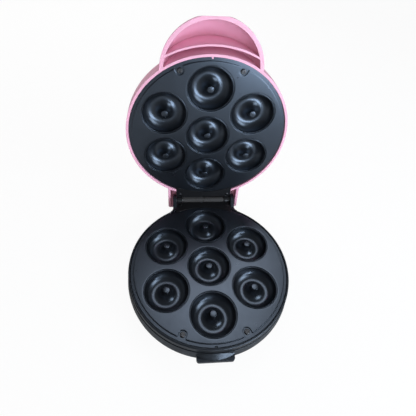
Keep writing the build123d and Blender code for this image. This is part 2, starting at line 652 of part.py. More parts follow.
def thermostat():
    """Disc thermostat under the pan, with its flange and two blade terminals."""
    top = PLATE_Z - SHIELD_Z - SHIELD_T
    body = rod(THERMOSTAT_FLANGE_R, top - SHIELD_T, top) + rod(THERMOSTAT_R, top - THERMOSTAT_H, top)
    for side in (-1, 1):
        blade = Box(*BLADE, align=(Align.CENTER, Align.CENTER, Align.MAX))
        body += Pos(0, side * THERMOSTAT_R / 2, top - THERMOSTAT_H) * blade
    return Pos(*THERMOSTAT, 0) * body


def fuse_places():
    """Height of the thermal fuse's middle under the pan."""
    return PLATE_Z - SHIELD_Z - SHIELD_T - CLIP_T - FUSE_R - FIT


def thermal_fuse():
    """One-shot fuse: a small capsule with a wire out of each end."""
    z = fuse_places()
    half = FUSE_LEN / 2
    body = cross_rod(FUSE_R, -half / 2, half / 2, 0, z) + cross_rod(FUSE_WIRE_R, -half, half, 0, z)
    return Pos(*FUSE, 0) * body


def fuse_clip():
    """Spring clip that wraps the fuse and lies against the pan."""
    z = fuse_places()
    half = CLIP_W / 2
    mouth = FUSE_R / 2
    grip = cross_rod(FUSE_R + FIT + CLIP_T, -half, half, 0, z)
    grip -= brick((-half, -mouth, z - 2 * FUSE_R), (half, mouth, z))
    top = PLATE_Z - SHIELD_Z - SHIELD_T
    tongue = brick((-half, 0, top - CLIP_T), (half, FUSE_R * 4, top))
    return Pos(*FUSE, 0) * (grip + tongue - cross_rod(FUSE_R + FIT, -half, half, 0, z))


def terminal_block():
    """Ceramic terminal block on the floor, with a barrel hole through each pole."""
    long, deep, high = TERMINAL_SIZE
    body = fillet(
        brick((-long / 2, -deep / 2, 0), (long / 2, deep / 2, high)).edges().filter_by(Axis.Z), TERMINAL_ROUND
    )
    pitch = (long - 4 * TERMINAL_SCREW_IN) / TERMINAL_POLES
    for i in range(TERMINAL_POLES):
        x = (i - (TERMINAL_POLES - 1) / 2) * pitch
        body -= Pos(x, 0, high / 2) * Rot(90, 0, 0) * Cylinder(TERMINAL_HOLE_R, 2 * deep)
        body -= rod(TERMINAL_HOLE_R - SCREW_FIT, high / 2, high + 1, x, 0)
    for x, y in both_sides(long / 2 - TERMINAL_SCREW_IN, 0):
        body -= rod(SMALL_SCREW_R + SCREW_FIT, -1, high + 1, x, y)
        body -= rod(SMALL_HEAD_R + SCREW_FIT, high / 2, high + 1, x, y)
    return Pos(0, TERMINAL_Y, FLOOR_TOP) * body


def terminal_block_screws():
    """Screws that hold the terminal block to the floor."""
    long, deep, high = TERMINAL_SIZE
    length = high / 2 + WALL / 2
    one = screw(SMALL_SCREW_R, length, SMALL_HEAD_R, SMALL_HEAD_H)
    places = both_sides(long / 2 - TERMINAL_SCREW_IN, TERMINAL_Y)
    return [Pos(x, y, FLOOR_TOP + high / 2) * one for x, y in places]


def hinge_pin():
    """Steel rod from cheek to cheek, kept in by the housing's side walls."""
    rod_x = cross_rod(PIN_R, -CHEEK_OUT, CHEEK_OUT, HINGE_Y, HINGE_Z)
    return chamfer(rod_x.edges(), PIN_R / 5)


# Lid, drawn closed with its face at Z = 0 and the crown above it
def crown(radius, edge_h, top_h):
    """Shallow arc from the lid's wall up to the middle of its crown."""
    rise = top_h - edge_h
    big = (radius**2 + rise**2) / (2 * rise)
    half = radius / 2
    return ThreePointArc((radius, edge_h), (half, top_h - big + sqrt(big**2 - half**2)), (0, top_h))


def crown_height(r):
    """Height of the lid's outside at a distance from its middle, on the crown."""
    rise = LID_H - LID_EDGE_H
    big = (LID_R**2 + rise**2) / (2 * rise)
    return LID_H - big + sqrt(big**2 - r**2)


def dome(radius, edge_h, top_h, shoulder):
    """Turned dome: straight wall, rounded shoulder, shallow crown."""
    lines = Polyline((0, top_h), (0, 0), (radius, 0), (radius, edge_h))
    outline = make_face([*lines.edges(), crown(radius, edge_h, top_h)])
    corner = outline.vertices().sort_by_distance((radius, edge_h))[0]
    return revolve(Plane.XZ * fillet(corner, shoulder), Axis.Z)


def handle_form(radius, height, tip_y):
    """Half-dome of elliptic section about the handle's own middle, cut by the leaning flat tip."""
    arc = EllipticalCenterArc((0, 0), radius, height, 0, arc_size=90)
    sides = Polyline((0, height), (0, 0), (radius, 0))
    form = Pos(0, -HANDLE_Y, 0) * revolve(Plane.XZ * make_face([arc, *sides.edges()]), Axis.Z)
    behind = brick((-REACH, 0, -REACH), (REACH, 2 * REACH, 2 * REACH))
    keep = Pos(0, -tip_y, 0) * Rot(-TIP_LEAN, 0, 0) * behind
    return form & keep & brick((-REACH, -REACH, 0), (REACH, 0, REACH))


def housing_form(half, radius):
    """Hinge housing: a box whose roof rolls over the pin to a rounded back."""
    pin_z = -PLATE_GAP / 2
    roof = radius + pin_z
    box = Pos(HINGE_Y * 0.75, roof / 2) * Rectangle(HINGE_Y / 2, roof)
    back = Pos(HINGE_Y, pin_z) * Circle(radius)
    above = Pos(HINGE_Y, REACH / 2) * Rectangle(REACH, REACH)
    return extrude(Plane.YZ * (box + (back & above)), half, both=True)


def lid_seat():
    """Seat ring inside the lid for the edge of its plate."""
    fit_r = PLATE_R + PLATE_FIT
    seat_r = fit_r - SEAT_W
    wall_r = LID_R - WALL
    return lathe([
        (fit_r, 0),
        (wall_r + 1, 0),
        (wall_r + 1, SEAT_DEPTH + SEAT_T + SEAT_W),
        (wall_r, SEAT_DEPTH + SEAT_T + SEAT_W),
        (seat_r, SEAT_DEPTH + SEAT_T),
        (seat_r, SEAT_DEPTH),
        (fit_r, SEAT_DEPTH),
    ])


def lens_z():
    """Height of the flat seat cut into the crown for each pilot lens."""
    return crown_height(hypot(LENS_X, LENS_Y)) - LENS_SEAT


def lid_shell():
    """Upper moulding: dome, half-moon handle, hinge housing, bosses and lens seats."""
    housing = housing_form(HOUSING_HALF, HOUSING_R)
    sides = housing.faces().filter_by(Axis.X).edges().filter_by(lambda e: e.center().Z > 1)
    housing = fillet(sides.filter_by(lambda e: e.center().Y > LID_R), HOUSING_ROUND)
    outside = dome(LID_R, LID_EDGE_H, LID_H, LID_SHOULDER) + housing
    outside += handle_form(HANDLE_R, HANDLE_H, HANDLE_TIP_Y)
    scoop = handle_form(HANDLE_R - HANDLE_RIM_W, HANDLE_H - HANDLE_FLOOR_T, HANDLE_TIP_Y - TIP_WALL)
    shell = outside - dome(LID_R - WALL, LID_EDGE_H - WALL, LID_H - WALL, LID_SHOULDER - WALL)
    shell -= scoop - rod(DIVIDER_R, -1, REACH)
    shell -= scoop & tube(LID_R, DIVIDER_IN, -1, POCKET_DEPTH)
    shell -= scoop & rod(DIVIDER_IN, POCKET_DEPTH + WALL, REACH)
    shell += lid_seat()
    shell -= housing_form(EAR_IN, HOUSING_R - WALL) - rod(LID_R, -1, REACH)
    notch = brick((-CHEEK_IN, 0, -1), (CHEEK_IN, REACH, BRACKET_H))
    shell -= notch - rod(PLATE_R + PLATE_FIT, -1, REACH)
    for x, y in both_sides(PLATE_SCREW_X, -PLATE_SCREW_Y):
        shell += rod(PLATE_SCREW_R + BOSS_WALL, SEAT_DEPTH, REACH, x, y) & outside
        shell -= rod(PLATE_SCREW_R + SCREW_FIT, -1, SEAT_DEPTH + PLATE_SCREW_LEN, x, y)
    for x, y in both_sides(BRACKET_SCREW_X, BRACKET_SCREW_Y):
        shell += rod(SMALL_SCREW_R + BOSS_WALL, BRACKET_H, REACH, x, y) & outside
        shell -= rod(SMALL_SCREW_R + SCREW_FIT, -1, SMALL_SCREW_LEN + SMALL_HEAD_H, x, y)
    for x, y in both_sides(LENS_X, -LENS_Y):
        shell -= rod(LENS_R + FIT, lens_z(), REACH, x, y)
        shell -= rod(LENS_STEM_R + FIT, 1, REACH, x, y)
    post_top = crown_height(hypot(BOARD_POST_X, LENS_Y)) - WALL / 2
    for x, y in both_sides(BOARD_POST_X, -LENS_Y):
        shell += rod(BOARD_POST_R, board_z(), post_top, x, y)
    return shell + locating_key(0, 0, SEAT_DEPTH)


def pilot_lens(side):
    """Moulded pilot lens: a low cap in its seat and a hollow stem through the crown."""
    z = lens_z()
    cap = fillet(rod(LENS_R, z, z + LENS_H).edges().group_by(Axis.Z)[-1], LENS_H / 2)
    stem = rod(LENS_STEM_R, z - LENS_STEM, z) - rod(LENS_STEM_R - LENS_WALL, z - LENS_STEM, z)
    return Pos(side * LENS_X, -LENS_Y, 0) * (cap + stem)


def board_z():
    """Upper face of the lamp board, just under the lens stems."""
    return lens_z() - LENS_STEM - FIT


def lamp_board():
    """Small board on two posts under the crown."""
    wide, deep, thick = BOARD_SIZE
    z = board_z()
    return brick((-wide / 2, -LENS_Y - deep / 2, z - thick), (wide / 2, -LENS_Y + deep / 2, z))


def indicator_lamps():
    """Two small lamps that stand on the board inside the lens stems."""
    z = board_z()
    lamp = fillet(rod(LAMP_R, z, z + LENS_STEM - LENS_WALL).edges().group_by(Axis.Z)[-1], LAMP_R * 0.6)
    return [Pos(x, y, 0) * lamp for x, y in both_sides(LENS_X, -LENS_Y)]


# Where each half's pieces go
AS_BASE = Pos(0, 0, PLATE_Z)
AS_LID = Pos(0, 0, PLATE_Z + PLATE_GAP) * Rot(0, 180, 0)
ON_LID = Pos(0, 0, PLATE_Z + PLATE_GAP)
SWING = Pos(0, HINGE_Y, HINGE_Z) * Rot(-OPEN_ANGLE, 0, 0) * Pos(0, -HINGE_Y, -HINGE_Z)


def placed(place, piece):
    """A piece, or each solid of a group, moved to its place."""
    return [place * one for one in (piece if isinstance(piece, list) else [piece])]


half_pieces = {
    "plate": cast_plate(),
    "plate_screws": plate_screws(),
    "heating_element": heating_element(),
    "heat_shield": heat_shield(),
    "shield_screws": shield_screws(),
    "hinge_bracket": hinge_bracket(),
    "hinge_screws": bracket_screws(),
}
form = base_form()
nodes = {
    "base_shell": [form - rim_zone(RIM_FIT) - hinge_zone(RIM_FIT)],
    "base_rim": [base_rim(form)],
    "base_hinge_block": [base_hinge_block(form)],
    "rubber_feet": rubber_feet(),
    "cord_gland": [cord_gland()],
    "base_thermostat": [thermostat()],
    "thermal_fuse": [thermal_fuse()],
    "fuse_clip": [fuse_clip()],
    "terminal_block": [terminal_block()],
    "terminal_block_screws": terminal_block_screws(),
    "hinge_pin": [hinge_pin()],
}
nodes |= {f"base_{name}": placed(AS_BASE, piece) for name, piece in half_pieces.items()}
nodes["base_hinge_bracket"] = placed(AS_BASE, half_pieces["hinge_bracket"] + hinge_trough())
lid_nodes = {f"lid_{name}": placed(AS_LID, piece) for name, piece in half_pieces.items()}
lid_nodes |= {
    "lid_shell": placed(ON_LID, lid_shell()),
    "power_lens": placed(ON_LID, pilot_lens(-1)),
    "ready_lens": placed(ON_LID, pilot_lens(1)),
    "lamp_board": placed(ON_LID, lamp_board()),
    "indicator_lamps": placed(ON_LID, indicator_lamps()),
}
nodes |= {name: placed(SWING, solids) for name, solids in lid_nodes.items()}

# The origin goes under the middle of the open appliance
boxes = [solid.bounding_box() for solids in nodes.values() for solid in solids]
CENTRE_Y = (min(box.min.Y for box in boxes) + max(box.max.Y for box in boxes)) / 2
for name, solids in nodes.items():
    moved = [Pos(0, -CENTRE_Y, 0) * solid for solid in solids]
    whole = moved[0] if len(moved) == 1 else Compound(children=moved)
    export_step(whole, f"parts/{name}.step")

print("height", max(box.max.Z for box in boxes), "moved along Y by", -CENTRE_Y)
print("hinge pin at Y", HINGE_Y - CENTRE_Y, "Z", HINGE_Z)
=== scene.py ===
# %% [markdown]
# # An open donut maker, dressed for its portrait
# The solids of this appliance come from a CAD program. They are exact, but bare: every face is
# one flat grey. In this lesson we load them as a fixed frame and work out the looks round them.
# Nothing of the frame moves. A piece either keeps its solid and gets a finish, or it gets a finer
# skin worked out with numpy that stands in the same place.

# %% Load the frame
import json
from math import cos, pi, radians, sin

import bpy
import numpy as np
from mathutils import Euler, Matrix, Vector, geometry


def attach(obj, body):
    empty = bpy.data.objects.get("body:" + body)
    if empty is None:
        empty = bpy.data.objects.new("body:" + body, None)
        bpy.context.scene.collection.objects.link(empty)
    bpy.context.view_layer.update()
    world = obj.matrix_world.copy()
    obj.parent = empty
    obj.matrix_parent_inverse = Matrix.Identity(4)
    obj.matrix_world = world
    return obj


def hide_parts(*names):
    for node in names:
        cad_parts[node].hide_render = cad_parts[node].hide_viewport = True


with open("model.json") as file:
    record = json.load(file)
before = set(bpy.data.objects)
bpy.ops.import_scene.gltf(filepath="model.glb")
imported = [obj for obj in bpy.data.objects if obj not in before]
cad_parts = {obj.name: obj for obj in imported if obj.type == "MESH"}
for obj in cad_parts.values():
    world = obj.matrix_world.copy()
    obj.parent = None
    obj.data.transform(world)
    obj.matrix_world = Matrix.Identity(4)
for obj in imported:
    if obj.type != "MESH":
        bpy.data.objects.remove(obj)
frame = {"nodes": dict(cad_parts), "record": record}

nodes = frame["nodes"]
scene = bpy.context.scene
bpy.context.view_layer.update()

# %% [markdown]
# ## The camera
# A product photograph that looks natural was taken from the standpoint of somebody at the table.
# The place, the turn and the lens below were solved from the seven cups of each plate: all are alike
# and evenly spaced, so only one standpoint draws all fourteen where the picture has them.
# The picture was cropped a little off centre, which is what a lens shift does.

# %% Camera
MM = 0.001
PICTURE = 416.0  # pixels along a side
FOCUS = 326.54  # distance from lens to picture, in pixels
AXIS_X, AXIS_Y = 200.40, 190.23  # where the lens points, in pixels from the upper left corner
STAND = Vector((-42.46, -200.73, 357.46))  # from the middle of the base plate to the lens, in mm
TURN = (42.469, -3.022, -3.665)  # turn of the camera about X, Y and Z, in degrees
PIN_BEHIND = 106.5  # the hinge pin lies this far behind the middle of the plates, in mm
PIN_ABOVE = 0.5  # and this far above the base plate's working face

pin = Vector(frame["record"]["behaviour"]["joints"][0]["pos_m"]) / MM
middle = pin - Vector((0.0, PIN_BEHIND, PIN_ABOVE))

standpoint = bpy.data.cameras.new("standpoint")
standpoint.sensor_width = 36.0
standpoint.lens = FOCUS / PICTURE * standpoint.sensor_width
standpoint.shift_x = (PICTURE / 2 - AXIS_X) / PICTURE
standpoint.shift_y = (AXIS_Y - PICTURE / 2) / PICTURE
standpoint.clip_start = 0.01
standpoint.clip_end = 20.0
viewer = bpy.data.objects.new("viewer", standpoint)
viewer.location = (middle + STAND) * MM
viewer.rotation_euler = Euler([radians(angle) for angle in TURN], "XYZ")
scene.collection.objects.link(viewer)
scene.camera = viewer
print("lens:", round(standpoint.lens, 2), "mm, plates centred on", tuple(round(v, 2) for v in middle))

# %% [markdown]
# ## Grids and meshes
# Every new surface in this lesson is a grid: one parameter runs along the rows, the other along
# the columns, and numpy works out all the points at once. These helpers turn such arrays into a
# mesh. Each grid goes all the way round, so its last column joins its first.

# %% Helpers for surfaces
def grid_faces(rows, columns):
    """Quads of a rows x columns grid of points that closes on itself, numbered row by row.
    Point (i, j) has the number i * columns + j, and each quad is (i, j), (i, j+1), (i+1, j+1),
    (i+1, j), with j+1 taken modulo the columns."""
    i = np.arange(rows - 1)[:, None]
    j = np.arange(columns)[None, :]
    ahead = (j + 1) % columns
    corners = [i * columns + j, i * columns + ahead, (i + 1) * columns + ahead, (i + 1) * columns + j]
    return np.stack([c.ravel() for c in corners], axis=1)


def make_piece(name, points, faces, smooth_angle):
    """One mesh object from points in millimetres and faces, merged where patches meet.
    It shades smoothly, apart from edges that turn by more than smooth_angle degrees."""
    mesh = bpy.data.meshes.new(name)
    mesh.from_pydata((np.asarray(points, float) * MM).tolist(), [], [list(map(int, f)) for f in faces])
    piece = bpy.data.objects.new(name, mesh)
    scene.collection.objects.link(piece)
    soften(piece, smooth_angle)
    return piece


def soften(piece, smooth_angle):
    """Smooth shading with crisp edges: weld the points, then split edges that turn sharply."""
    piece.data.polygons.foreach_set("use_smooth", np.ones(len(piece.data.polygons), bool))
    weld = piece.modifiers.new("weld", "WELD")
    weld.merge_threshold = 1e-6
    crisp = piece.modifiers.new("crisp", "EDGE_SPLIT")
    crisp.split_angle = radians(smooth_angle)


# %% [markdown]
# ## The studio
# The appliance stands in a white sweep: a floor that bends up into a backdrop all round, so that
# no horizon shows from any side. The room is dim, which keeps the cups deep and black. Daylight comes
# in by three windows: a high one on the right makes the glints on every cone, a low one the sheen on
# the lid's plate and the wall, and one behind is what the base plate mirrors. A soft fill from the
# front and one from the back light the pink; they are hidden from reflections, so that they leave no
# marks in the cups.
# To the eye of the camera the sweep and the sky above it are nearly white by themselves, and a share
# of plain diffuse keeps the shadow under the base. In reflections the sweep is dimmer than it is.

# %% Studio
def sweep_surface():
    """Floor and backdrop: the profile radius(t), height(t) turned about Z, flat out to 1.1 m and
    then a quarter of a circle up to the rim."""
    flat, bend, columns = 1.1, 0.8, 96
    turn = np.linspace(0, pi / 2, 25)
    radius = np.concatenate([[0.0, 0.3, 0.7], flat + bend * np.sin(turn)])
    height = np.concatenate([[0.0, 0.0, 0.0], bend * (1 - np.cos(turn))])
    angle = np.linspace(0, 2 * pi, columns, endpoint=False)
    points = np.stack([
        radius[:, None] * np.cos(angle),
        radius[:, None] * np.sin(angle),
        np.broadcast_to(height[:, None], (len(radius), columns)),
    ], axis=-1).reshape(-1, 3)
    return points / MM, grid_faces(len(radius), columns)


floor = make_piece("studio_sweep", *sweep_surface(), smooth_angle=80.0)


def make_node(tree, kind, sockets=None, **settings):
    """Adds one shader node, sets it, and fills each named socket with a value or a link."""
    node = tree.nodes.new("ShaderNode" + kind)
    for name, value in settings.items():
        setattr(node, name, value)
    for name, value in (sockets or {}).items():
        if isinstance(value, bpy.types.NodeSocket):
            tree.links.new(value, node.inputs[name])
        else:
            node.inputs[name].default_value = value
    return node


PAPER_GLOW = 0.93  # share of plain white in the paper, as the camera sees it
PAPER_MIRRORED = 0.10  # the same share in reflections
PAPER_TONE, PAPER_DIM = 0.9, -0.45  # the paper's own tone, and what reflections take off it

paper = bpy.data.materials.new("white_paper")
paper.use_nodes = True
tree = paper.node_tree
tree.nodes.clear()
ray = make_node(tree, "LightPath")
camera, glass, gloss = (ray.outputs[f"Is {kind} Ray"] for kind in ("Camera", "Transmission", "Glossy"))
seen = make_node(tree, "Math", {0: camera, 1: glass}, operation="ADD")
share = make_node(tree, "Math", {0: seen.outputs[0], 1: PAPER_GLOW}, operation="MULTIPLY")
mirrored = make_node(tree, "Math", {0: gloss, 1: PAPER_MIRRORED}, operation="MULTIPLY")
share = make_node(tree, "Math", {0: share.outputs[0], 1: mirrored.outputs[0]}, operation="ADD")
tone = make_node(tree, "Math", {0: gloss, 1: PAPER_DIM, 2: PAPER_TONE}, operation="MULTIPLY_ADD")
lit = make_node(tree, "BsdfDiffuse", {"Color": tone.outputs[0]})
glow = make_node(tree, "Emission", {"Color": (1.0, 1.0, 1.0, 1.0), "Strength": 1.0})
both = make_node(tree, "MixShader", {0: share.outputs[0], 1: lit.outputs[0], 2: glow.outputs[0]})
make_node(tree, "OutputMaterial", {"Surface": both.outputs[0]})
floor.data.materials.append(paper)

ROOM_LIGHT, SKY_GLOW = 0.13, 0.97  # light from all round, and the sky as the camera sees it

sky = bpy.data.worlds.new("room_light")
sky.use_nodes = True
tree = sky.node_tree
room = tree.nodes["Background"]
room.inputs["Color"].default_value = (0.92, 0.96, 1.0, 1.0)
room.inputs["Strength"].default_value = ROOM_LIGHT
white = make_node(tree, "Background", {"Color": (1.0, 1.0, 1.0, 1.0), "Strength": SKY_GLOW})
camera = make_node(tree, "LightPath").outputs["Is Camera Ray"]
both = make_node(tree, "MixShader", {0: camera, 1: room.outputs[0], 2: white.outputs[0]})
tree.links.new(both.outputs[0], tree.nodes["World Output"].inputs["Surface"])
scene.world = sky
scene.view_settings.view_transform = "Standard"


def window(name, place, aim, size, power, colour):
    """A soft rectangular lamp at a place, turned towards the point it lights. Places and sizes are
    in metres, the power is in watts."""
    lamp = bpy.data.lights.new(name, "AREA")
    lamp.shape = "RECTANGLE"
    lamp.size, lamp.size_y = size
    lamp.energy = power
    lamp.color = colour
    holder = bpy.data.objects.new(name, lamp)
    holder.location = place
    holder.rotation_euler = (Vector(aim) - Vector(place)).to_track_quat("-Z", "Y").to_euler()
    scene.collection.objects.link(holder)
    return holder


CLEAR, BLUER, PALER, WARM = (0.80, 0.90, 1.0), (0.74, 0.86, 1.0), (0.90, 0.94, 1.0), (1.0, 0.96, 0.93)
window("right_window", (0.80, -0.50, 0.66), (0.0, 0.0, 0.12), (0.54, 0.62), 6.2, CLEAR)
window("low_window", (0.50, -0.82, 0.16), (0.08, 0.08, 0.16), (0.6, 0.35), 7.8, BLUER)
window("rear_window", (0.16, 0.48, 1.15), (0.0, -0.05, 0.04), (0.55, 0.6), 3.2, PALER)
front_fill = window("front_fill", (-0.30, -0.9, 0.8), (0.0, 0.05, 0.15), (0.9, 0.9), 3.9, WARM)
back_fill = window("back_fill", (-0.35, 1.0, 0.7), (0.0, 0.05, 0.15), (0.9, 0.9), 5.0, WARM)
front_fill.visible_glossy = back_fill.visible_glossy = False

# %% [markdown]
# ## Finishes
# A finish is a small graph of nodes. All of them read Object coordinates, which are metres in the
# appliance's own frame, so a grain that is 0.4 mm wide on the real thing has a scale of about
# 2500 here. What is the same all over is set on the shader itself. What varies, such as polish,
# comes from noise.

# %% Helpers for finishes
def start_finish(name, **constants):
    """A new material with its constant sockets set. Gives the material, tree, shader and the
    Object coordinates."""
    material = bpy.data.materials.new(name)
    material.use_nodes = True
    tree = material.node_tree
    shader = tree.nodes["Principled BSDF"]
    for socket, value in constants.items():
        shader.inputs[socket.replace("_", " ")].default_value = value
    place = make_node(tree, "TexCoord").outputs["Object"]
    return material, tree, shader, place


def grain(tree, place, size_mm, detail=2.0, rough=0.5):
    """Soft noise whose blotches are about size_mm across, from 0 to 1."""
    sockets = {"Vector": place, "Scale": 1.0 / (size_mm * MM), "Detail": detail, "Roughness": rough}
    return make_node(tree, "TexNoise", sockets).outputs["Fac"]


def spread(tree, value, low, high, start=0.3, stop=0.7):
    """Stretches a value to the range from low to high. Noise mostly lies between 0.3 and 0.7."""
    sockets = {"Value": value, "From Min": start, "From Max": stop, "To Min": low, "To Max": high}
    return make_node(tree, "MapRange", sockets).outputs["Result"]


def two_tone(tree, value, dark, light):
    """Colour that runs from dark to light as a noise value rises through the middle of its range."""
    ramp = make_node(tree, "ValToRGB", {"Fac": value})
    start, stop = ramp.color_ramp.elements
    start.position, start.color = 0.35, (*dark, 1.0)
    stop.position, stop.color = 0.65, (*light, 1.0)
    return ramp.outputs["Color"]


def relief(tree, height, depth_mm, strength, under=None):
    """Bump from a height value, depth_mm deep, on top of another bump if one is given."""
    sockets = {"Height": height, "Distance": depth_mm * MM, "Strength": strength}
    if under is not None:
        sockets["Normal"] = under
    return make_node(tree, "Bump", sockets).outputs["Normal"]


def moulded_plastic(name, dark, light, polish, grain_mm, depth_mm, edge_mm, **constants):
    """Injection-moulded plastic: two close tones, polish that varies between two roughnesses, and a
    fine grain, grain_mm wide and depth_mm deep, over a slow waviness. Sharp edges catch the light as
    if rounded by edge_mm."""
    material, tree, shader, place = start_finish(name, **constants)
    tone = grain(tree, place, size_mm=34.0, detail=3.0)
    tree.links.new(two_tone(tree, tone, dark, light), shader.inputs["Base Color"])
    rub = grain(tree, place, size_mm=9.0, detail=5.0, rough=0.6)
    tree.links.new(spread(tree, rub, *polish), shader.inputs["Roughness"])
    soft_edge = make_node(tree, "Bevel", {"Radius": edge_mm * MM}, samples=6).outputs["Normal"]
    slow = relief(tree, grain(tree, place, size_mm=14.0), depth_mm=0.05, strength=0.3, under=soft_edge)
    fine = relief(tree, grain(tree, place, grain_mm, detail=1.0), depth_mm, strength=0.5, under=slow)
    tree.links.new(fine, shader.inputs["Normal"])
    return material


def plain_metal(name, dark, light, polish, marks_mm):
    """Metal with a drawn or plated surface: two tones, a polish and a shallow relief that all follow
    the same marks."""
    material, tree, shader, place = start_finish(name, Metallic=1.0)
    marks = grain(tree, place, marks_mm, detail=6.0, rough=0.65)
    tree.links.new(two_tone(tree, marks, dark, light), shader.inputs["Base Color"])
    tree.links.new(spread(tree, marks, *polish), shader.inputs["Roughness"])
    tree.links.new(relief(tree, marks, depth_mm=0.03, strength=0.4), shader.inputs["Normal"])
    return material


# %% [markdown]
# ## Pink lid, black base
# Both mouldings are ordinary polypropylene-like plastic. The pink is satin and a little
# milky. The black has a fine spark-eroded grain that breaks up its reflections.

# %% Plastics
pink = moulded_plastic(
    "pink_plastic", (0.76, 0.38, 0.495), (0.80, 0.405, 0.53), polish=(0.34, 0.44),
    grain_mm=0.5, depth_mm=0.003, edge_mm=0.5, IOR=1.42,
)
# The blue Specular_Tint of the black is a painted reflection colour: it tints its reflections with the blue
# of the daylight.
black = moulded_plastic(
    "black_plastic", (0.005, 0.0055, 0.0065), (0.008, 0.0085, 0.0095), polish=(0.32, 0.46),
    grain_mm=0.45, depth_mm=0.02, edge_mm=0.7, IOR=1.6, Specular_Tint=(0.74, 0.85, 1.0, 1.0),
)
rubber = moulded_plastic(
    "foot_rubber", (0.012, 0.012, 0.012), (0.022, 0.021, 0.02), polish=(0.7, 0.85),
    grain_mm=0.6, depth_mm=0.03, edge_mm=0.3, IOR=1.45,
)
ceramic = moulded_plastic(
    "white_ceramic", (0.68, 0.66, 0.61), (0.78, 0.76, 0.71), polish=(0.35, 0.55),
    grain_mm=0.5, depth_mm=0.02, edge_mm=0.3, IOR=1.55,
)
print("plastics:", pink.name, black.name, rubber.name, ceramic.name)


# %% Metals and small finishes
zinc = plain_metal(
    "zinc_steel", (0.50, 0.50, 0.51), (0.64, 0.64, 0.66), polish=(0.22, 0.4), marks_mm=3.0,
)
dark_steel = plain_metal(
    "dark_steel", (0.035, 0.035, 0.038), (0.13, 0.13, 0.135), polish=(0.28, 0.45), marks_mm=1.2,
)
heater_steel = plain_metal(
    "heater_steel", (0.18, 0.15, 0.13), (0.36, 0.34, 0.32), polish=(0.4, 0.6), marks_mm=5.0,
)
pan_sheet = plain_metal(
    "pan_sheet", (0.66, 0.66, 0.67), (0.78, 0.78, 0.80), polish=(0.15, 0.35), marks_mm=8.0,
)


def nonstick_coat():
    """Cast aluminium under a sprayed dark coat: orange peel about 1.6 mm wide, a fine tooth, and
    a polish that drifts over the plate as it wears."""
    # The blue tint on the coat's reflections is a painted reflection colour: it stands in for the blue of
    # the daylight from the windows.
    painted_daylight_tint = (0.68, 0.81, 1.0, 1.0)
    material, tree, shader, place = start_finish("nonstick_coat", IOR=1.85, Specular_Tint=painted_daylight_tint)
    drift = grain(tree, place, size_mm=40.0, detail=4.0)
    tone = two_tone(tree, drift, (0.0035, 0.004, 0.005), (0.006, 0.0065, 0.008))
    tree.links.new(tone, shader.inputs["Base Color"])
    rub = grain(tree, place, size_mm=12.0, detail=6.0, rough=0.6)
    tree.links.new(spread(tree, rub, 0.27, 0.32), shader.inputs["Roughness"])
    coarse, fine = (grain(tree, place, size_mm, detail=1.0) for size_mm in (1.6, 0.35))
    peel = relief(tree, coarse, depth_mm=0.012, strength=0.3)
    tooth = relief(tree, fine, depth_mm=0.003, strength=0.3, under=peel)
    tree.links.new(tooth, shader.inputs["Normal"])
    return material


def pilot_colour(name, deep, pale):
    """Clear tinted plastic of a pilot lens, a little cloudy, with its own depth."""
    material, tree, shader, place = start_finish(name, IOR=1.49, Coat_Weight=0.3, Transmission_Weight=0.35)
    cloud = grain(tree, place, size_mm=3.0)
    tree.links.new(two_tone(tree, cloud, deep, pale), shader.inputs["Base Color"])
    tree.links.new(spread(tree, cloud, 0.1, 0.2), shader.inputs["Roughness"])
    return material


def board_laminate():
    """Brown paper laminate with fine fibres, as cheap lamp boards have."""
    material, tree, shader, place = start_finish("board_laminate", IOR=1.5)
    fibre = grain(tree, place, size_mm=0.8, detail=5.0, rough=0.7)
    tone = two_tone(tree, fibre, (0.40, 0.28, 0.12), (0.52, 0.38, 0.18))
    tree.links.new(tone, shader.inputs["Base Color"])
    tree.links.new(spread(tree, fibre, 0.5, 0.7), shader.inputs["Roughness"])
    return material


def lamp_glass():
    """Small clear bulb, a little dusty."""
    material, tree, shader, place = start_finish("lamp_glass", IOR=1.5, Transmission_Weight=0.85)
    dust = grain(tree, place, size_mm=1.0)
    tone = two_tone(tree, dust, (0.92, 0.84, 0.74), (0.98, 0.94, 0.88))
    tree.links.new(tone, shader.inputs["Base Color"])
    tree.links.new(spread(tree, dust, 0.03, 0.12), shader.inputs["Roughness"])
    return material


